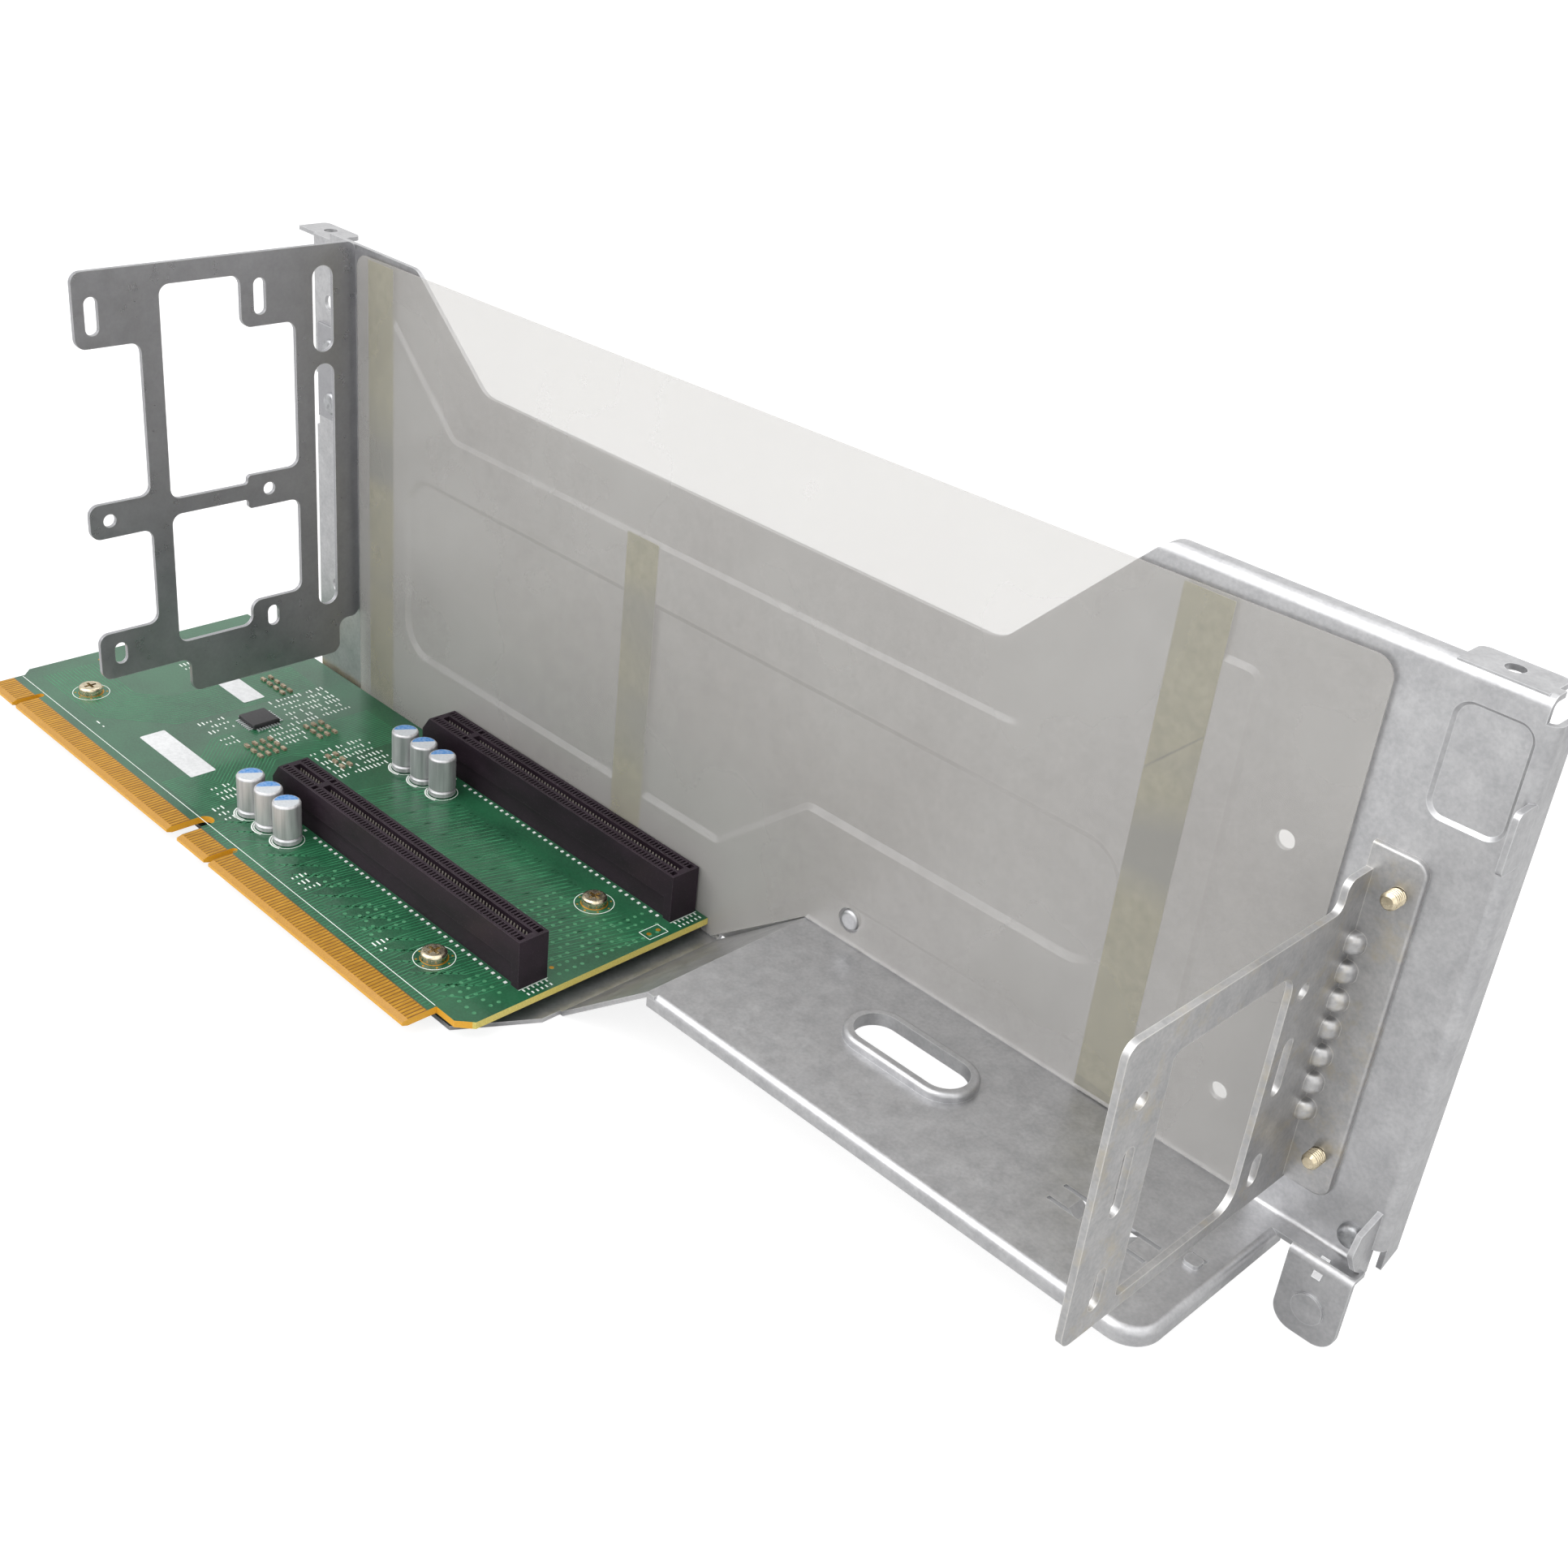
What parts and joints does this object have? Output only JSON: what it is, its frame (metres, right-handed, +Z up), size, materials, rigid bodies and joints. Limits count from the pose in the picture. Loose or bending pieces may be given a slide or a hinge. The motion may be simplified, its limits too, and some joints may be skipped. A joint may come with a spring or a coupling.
{
  "type": "pcie riser card",
  "caption": "Server riser board with keyed edge contacts and card slots, screwed to a folded sheet-metal carrier with a film-lined rear wall, end bracket and card retaining frame.",
  "frame": {"origin": "middle of the bounding box in X and Y, on the surface that the low plate rests on", "axes": "+X along the card slots towards the retaining frame, +Y from the contact edge back to the wall, +Z up out of the slots"},
  "size_m": [0.341, 0.082, 0.1241],
  "materials": {
    "galvanised_sheet": "spangled zinc, satin",
    "end_bracket_steel": "satin, darker",
    "frame_steel": "satin, slightly tarnished",
    "film": "frosted translucent",
    "tape": "yellowed adhesive",
    "board_green": "solder mask, semi gloss",
    "contact_gold": "plated",
    "slot_black": "moulded, matt",
    "can_aluminium": "satin can, blue segment on top",
    "chip_black": "moulded",
    "small_part_tan": "ceramic",
    "label_white": "blank sticker",
    "spacer_steel": "turned",
    "screw_nickel": "nickel plated",
    "rivet_steel": "bright"
  },
  "bodies": {
    "root": {"board_screws": "screw_nickel", "board_spacers": "spacer_steel", "bracket_rivets": "rivet_steel", "capacitor_1": "can_aluminium", "capacitor_2": "can_aluminium", "capacitor_3": "can_aluminium", "capacitor_4": "can_aluminium", "capacitor_5": "can_aluminium", "capacitor_6": "can_aluminium", "carrier_sheet": "galvanised_sheet", "circuit_board": "board_green", "contacts_lower": "contact_gold", "contacts_upper": "contact_gold", "control_chip": "chip_black", "end_bracket": "end_bracket_steel", "end_frame": "frame_steel", "frame_screws": "screw_nickel", "insulating_film": "film", "label_long": "label_white", "label_short": "label_white", "slot_housing_far": "slot_black", "slot_housing_near": "slot_black", "small_parts": "small_part_tan", "tape_left": "tape", "tape_middle": "tape", "tape_right": "tape", "wall_stud": "rivet_steel"}
  },
  "joints": []
}
